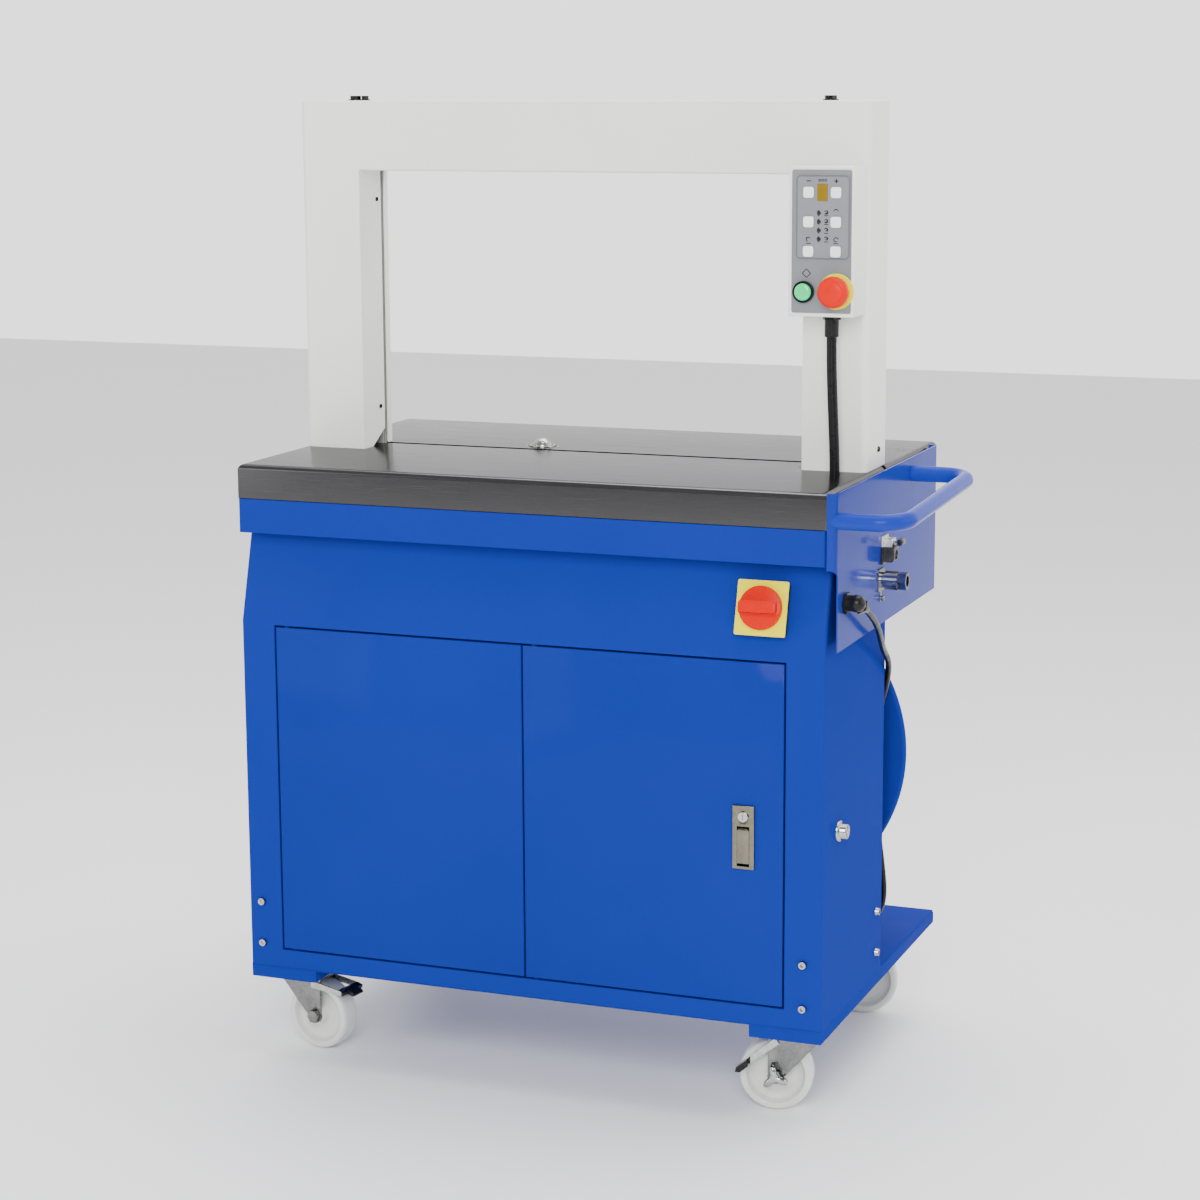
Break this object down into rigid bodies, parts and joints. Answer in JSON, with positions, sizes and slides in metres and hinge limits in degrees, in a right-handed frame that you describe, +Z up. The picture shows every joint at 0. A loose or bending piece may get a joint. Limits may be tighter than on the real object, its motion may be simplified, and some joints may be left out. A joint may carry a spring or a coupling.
{
  "type": "semi automatic strapping machine",
  "caption": "Arch strapping machine on castors with a steel table, a two-door cabinet, a strap reel, a push handle and a control box on the arch.",
  "frame": {"origin": "on the floor under the middle of the whole machine, measured without the mains lead, its coil and its plug", "axes": "+Z up, +X to the right as the operator at the doors sees it, +Y to the back where the reel is"},
  "size_m": [0.9525, 0.6036, 1.3494],
  "materials": {
    "blue_paint": "gloss powder coat with faint orange peel",
    "arch_paint": "satin powder coat, warm light grey",
    "stainless": "brushed stainless sheet, grain along the front edge",
    "zinc": "bright zinc plate, slightly worn",
    "bare_chrome": "polished chrome",
    "white_nylon": "moulded white nylon with scuffs on the tread",
    "black_plastic": "fine-grained black plastic",
    "black_rubber": "satin black cable sheath",
    "overlay_grey": "matt printed panel foil",
    "keypad": "embossed membrane with pale keys",
    "amber_window": "tinted display window",
    "lamp_lens": "dark lens of an unlit lamp",
    "green_plastic": "translucent green button",
    "red_plastic": "gloss red button",
    "yellow_plastic": "gloss yellow plate",
    "motor_paint": "dark grey paint over cast fins",
    "track": "light grey sliding plastic"
  },
  "bodies": {
    "machine": {"base_rails": "blue_paint", "base_plate": "blue_paint", "cabinet_shell": "blue_paint", "rear_panel": "blue_paint", "upper_housing": "blue_paint", "bracket_plate": "blue_paint", "push_handle": "blue_paint", "table_front": "stainless", "table_rear": "stainless", "ball_seat": "bare_chrome", "arch_front_cover": "arch_paint", "arch_rear_cover": "arch_paint", "strap_track": "track", "control_box": "arch_paint", "control_plate": "overlay_grey", "keypad_membrane": "keypad", "display_window": "amber_window", "status_lamps": "lamp_lens", "start_bezel": "black_plastic", "stop_collar": "yellow_plastic", "control_gland": "black_plastic", "control_cable": "black_rubber", "switch_body": "black_plastic", "switch_plate": "yellow_plastic", "side_lock": "bare_chrome", "pedal_socket": "black_plastic", "round_connector": "bare_chrome", "frame_screws": "zinc", "reel_stand": "zinc", "castor_plates": "zinc", "sealing_head": "zinc", "drive_motor": "motor_paint", "mains_gland": "black_plastic", "mains_cord": "black_rubber", "mains_coil": "black_rubber", "mains_plug": "black_rubber"},
    "ball": {"ball_switch": "bare_chrome"},
    "start_push": {"start_button": "green_plastic"},
    "stop_push": {"stop_button": "red_plastic"},
    "switch_turn": {"switch_knob": "red_plastic"},
    "door_left": {"left_door": "blue_paint"},
    "door_right": {"right_door": "blue_paint", "lock_housing": "bare_chrome"},
    "lever": {"lock_lever": "bare_chrome"},
    "key_button": {"lock_button": "bare_chrome"},
    "reel": {"reel_inner_flange": "blue_paint", "reel_hub": "zinc", "reel_outer_flange": "blue_paint"},
    "cams": {"cam_shaft": "zinc"},
    "front_left_swivel": {"front_left_fork": "zinc"},
    "front_left_roll": {"front_left_wheel": "white_nylon"},
    "front_right_swivel": {"front_right_fork": "zinc"},
    "front_right_roll": {"front_right_wheel": "white_nylon"},
    "rear_left_swivel": {"rear_left_fork": "zinc"},
    "rear_left_roll": {"rear_left_wheel": "white_nylon"},
    "rear_right_swivel": {"rear_right_fork": "zinc"},
    "rear_right_roll": {"rear_right_wheel": "white_nylon"},
    "front_left_brake": {"front_left_pedal": "black_plastic"},
    "front_right_brake": {"front_right_pedal": "black_plastic"}
  },
  "joints": [
    {"name": "left_door_swing", "type": "hinge", "parent": "machine", "child": "door_left", "pos_m": [-0.406, -0.2732, 0.401], "axis": [0, 0, -1], "range_deg": [0, 105]},
    {"name": "right_door_swing", "type": "hinge", "parent": "machine", "child": "door_right", "pos_m": [-0.0375, -0.2732, 0.401], "axis": [0, 0, -1], "range_deg": [0, 105]},
    {"name": "lock_lever_pull", "type": "hinge", "parent": "door_right", "child": "lever", "pos_m": [0.2593, -0.2812, 0.364], "axis": [1, 0, 0], "range_deg": [0, 45], "stiffness_Nm_per_rad": 0.05},
    {"name": "lock_button_press", "type": "slide", "parent": "door_right", "child": "key_button", "axis": [0, 1, 0], "range_m": [0, 0.003], "stiffness_N_per_m": 300},
    {"name": "main_switch_turn", "type": "hinge", "parent": "machine", "child": "switch_turn", "pos_m": [0.281, -0.26334, 0.699], "axis": [0, -0.9639, 0.2664], "range_deg": [-90, 0]},
    {"name": "start_press", "type": "slide", "parent": "machine", "child": "start_push", "axis": [0, 1, 0], "range_m": [0, 0.003], "stiffness_N_per_m": 400},
    {"name": "stop_press", "type": "slide", "parent": "machine", "child": "stop_push", "axis": [0, 1, 0], "range_m": [0, 0.005], "stiffness_N_per_m": 400},
    {"name": "ball_press", "type": "slide", "parent": "machine", "child": "ball", "axis": [0, 0, -1], "range_m": [0, 0.003], "stiffness_N_per_m": 400},
    {"name": "reel_spin", "type": "hinge", "parent": "machine", "child": "reel", "pos_m": [0.1515, 0.1628, 0.44], "axis": [0, 1, 0], "continuous": true},
    {"name": "cam_turn", "type": "hinge", "parent": "machine", "child": "cams", "pos_m": [-0.0535, -0.0022, 0.705], "axis": [1, 0, 0], "continuous": true},
    {"name": "front_left_swivel_turn", "type": "hinge", "parent": "machine", "child": "front_left_swivel", "pos_m": [-0.4335, -0.1872, 0.112], "axis": [0, 0, 1], "continuous": true},
    {"name": "front_left_wheel_roll", "type": "hinge", "parent": "front_left_swivel", "child": "front_left_roll", "pos_m": [-0.40592, -0.19206, 0.05], "axis": [-0.1736, -0.9848, 0], "continuous": true},
    {"name": "front_left_brake_press", "type": "hinge", "parent": "front_left_swivel", "child": "front_left_brake", "pos_m": [-0.40396, -0.19241, 0.097], "axis": [-0.1736, -0.9848, 0], "range_deg": [-8, 0]},
    {"name": "front_right_swivel_turn", "type": "hinge", "parent": "machine", "child": "front_right_swivel", "pos_m": [0.3085, -0.1922, 0.112], "axis": [0, 0, 1], "continuous": true},
    {"name": "front_right_wheel_roll", "type": "hinge", "parent": "front_right_swivel", "child": "front_right_roll", "pos_m": [0.28092, -0.19706, 0.05], "axis": [-0.1736, 0.9848, 0], "continuous": true},
    {"name": "front_right_brake_press", "type": "hinge", "parent": "front_right_swivel", "child": "front_right_brake", "pos_m": [0.27896, -0.19741, 0.097], "axis": [-0.1736, 0.9848, 0], "range_deg": [0, 12]},
    {"name": "rear_left_swivel_turn", "type": "hinge", "parent": "machine", "child": "rear_left_swivel", "pos_m": [-0.4335, 0.2348, 0.112], "axis": [0, 0, 1], "continuous": true},
    {"name": "rear_left_wheel_roll", "type": "hinge", "parent": "rear_left_swivel", "child": "rear_left_roll", "pos_m": [-0.40611, 0.24062, 0.05], "axis": [0.2079, -0.9781, 0], "continuous": true},
    {"name": "rear_right_swivel_turn", "type": "hinge", "parent": "machine", "child": "rear_right_swivel", "pos_m": [0.3085, 0.2348, 0.112], "axis": [0, 0, 1], "continuous": true},
    {"name": "rear_right_wheel_roll", "type": "hinge", "parent": "rear_right_swivel", "child": "rear_right_roll", "pos_m": [0.28133, 0.22803, 0.05], "axis": [-0.2419, 0.9703, 0], "continuous": true}
  ]
}
